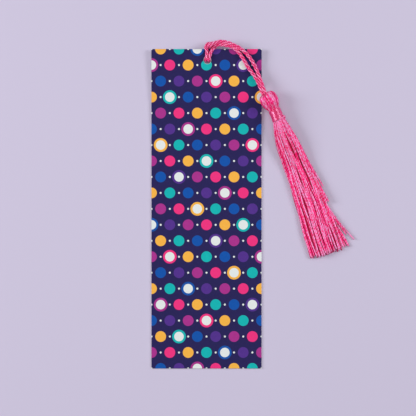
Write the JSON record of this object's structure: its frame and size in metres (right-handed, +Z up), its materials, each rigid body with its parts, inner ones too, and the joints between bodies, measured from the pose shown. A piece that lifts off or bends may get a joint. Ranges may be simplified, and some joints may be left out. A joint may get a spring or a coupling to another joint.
{
  "type": "bookmark",
  "caption": "Flat card bookmark with a punched hole, a looped cord hitched through it, and a silky tassel with a round head, a bound neck and a long skirt of threads.",
  "frame": {"origin": "centre of the card's back face, on the surface that the bookmark lies on", "axes": "+X to the right of the printed face, +Y along the card to its punched end, +Z up out of the printed face"},
  "size_m": [0.0916, 0.1492, 0.0085],
  "materials": {
    "card": "satin",
    "cord": "satin",
    "floss": "gloss",
    "binding": "gloss"
  },
  "bodies": {
    "card": {"card": "card", "loop_hitch": "cord"},
    "cord": {"loop_strand_left": "cord", "loop_strand_right": "cord"},
    "tassel": {"head_floss": "floss", "stopper_knot": "cord", "neck_binding": "binding", "binding_knot": "binding"},
    "skirt": {"skirt_lock_01": "floss", "skirt_lock_02": "floss", "skirt_lock_03": "floss", "skirt_lock_04": "floss", "skirt_lock_05": "floss", "skirt_lock_06": "floss", "skirt_lock_07": "floss", "skirt_lock_08": "floss", "skirt_lock_09": "floss", "skirt_lock_10": "floss", "skirt_lock_11": "floss", "skirt_lock_12": "floss"}
  },
  "joints": [
    {"name": "tassel_flip", "type": "hinge", "parent": "card", "child": "cord", "pos_m": [0.00659, 0.07507, 0.00493], "axis": [-1, 0, 0], "range_deg": [0, 180]},
    {"name": "tassel_turn", "type": "hinge", "parent": "cord", "child": "tassel", "pos_m": [0.0284, 0.049, 0.00425], "axis": [0, 0, 1], "range_deg": [-10, 90]},
    {"name": "skirt_sway", "type": "hinge", "parent": "tassel", "child": "skirt", "pos_m": [0.03294, 0.04054, 0.00425], "axis": [0, 0, 1], "range_deg": [-6, 15]}
  ]
}
